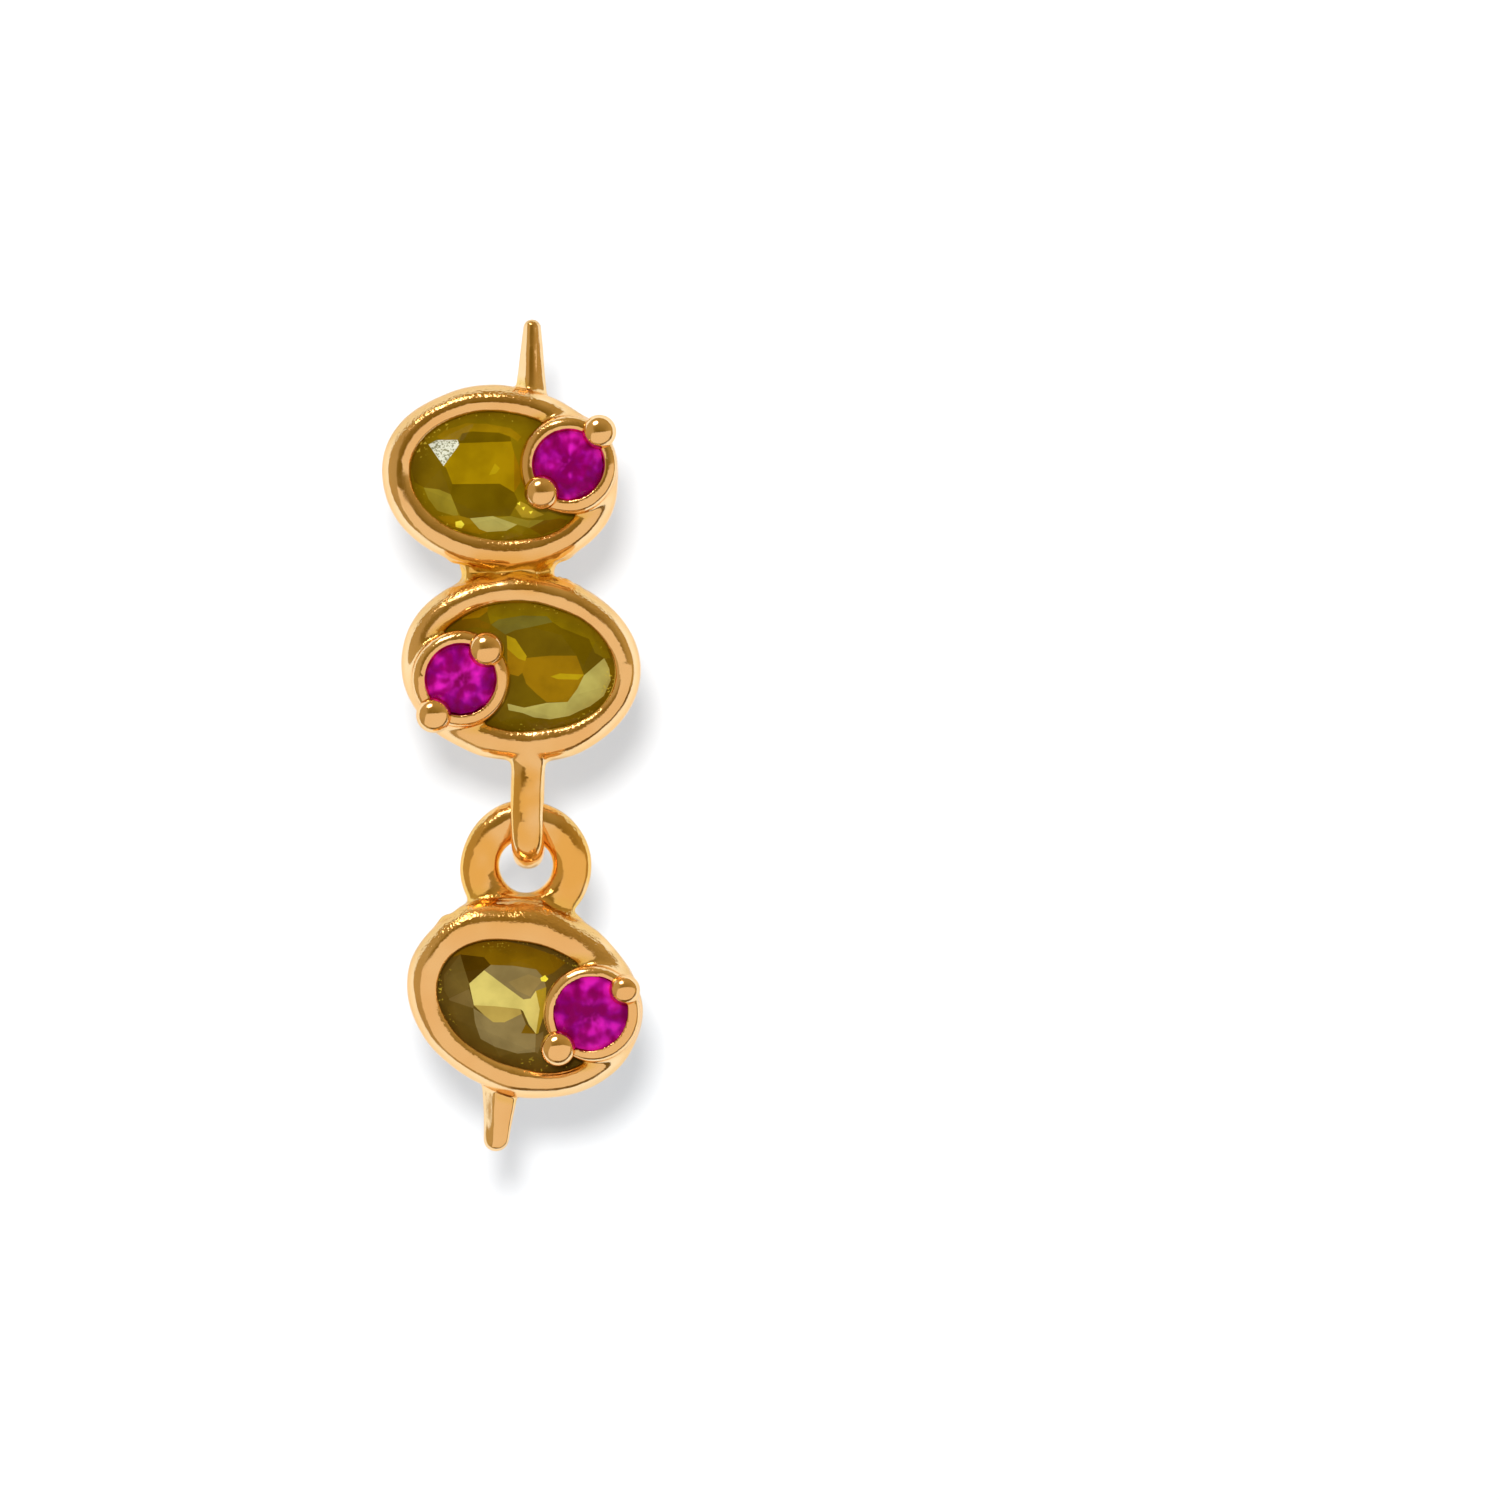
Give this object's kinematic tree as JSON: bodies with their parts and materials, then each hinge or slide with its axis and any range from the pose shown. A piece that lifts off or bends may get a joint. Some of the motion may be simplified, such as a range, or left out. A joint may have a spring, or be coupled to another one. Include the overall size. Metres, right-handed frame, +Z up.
{
  "type": "stud earring",
  "caption": "Polished gold stud earring of stuffed olives on a cocktail pick: oval green stones in thick rounded rims, small round magenta stones in cups, the lowest olive swinging on a ring.",
  "frame": {"origin": "root of the ear post, on the flat back of the top olive, behind that olive's centre", "axes": "+X to the right as the wearer's ear is looked at, +Y back into the ear lobe along the post, +Z up"},
  "size_m": [0.0077, 0.0144, 0.025],
  "materials": {
    "gold_plate": "polished",
    "post_metal": "gloss",
    "olive_stone": "polished",
    "pimento_stone": "polished"
  },
  "bodies": {
    "stud": {"upper_setting": "gold_plate", "top_olive_stone": "olive_stone", "middle_olive_stone": "olive_stone", "ear_post": "post_metal"},
    "drop": {"lower_setting": "gold_plate", "bottom_olive_stone": "olive_stone"}
  },
  "joints": [
    {"name": "drop_swing", "type": "hinge", "parent": "stud", "child": "drop", "pos_m": [0.00084, -0.00145, -0.01133], "axis": [0, 1, 0], "range_deg": [-60, 60]}
  ]
}
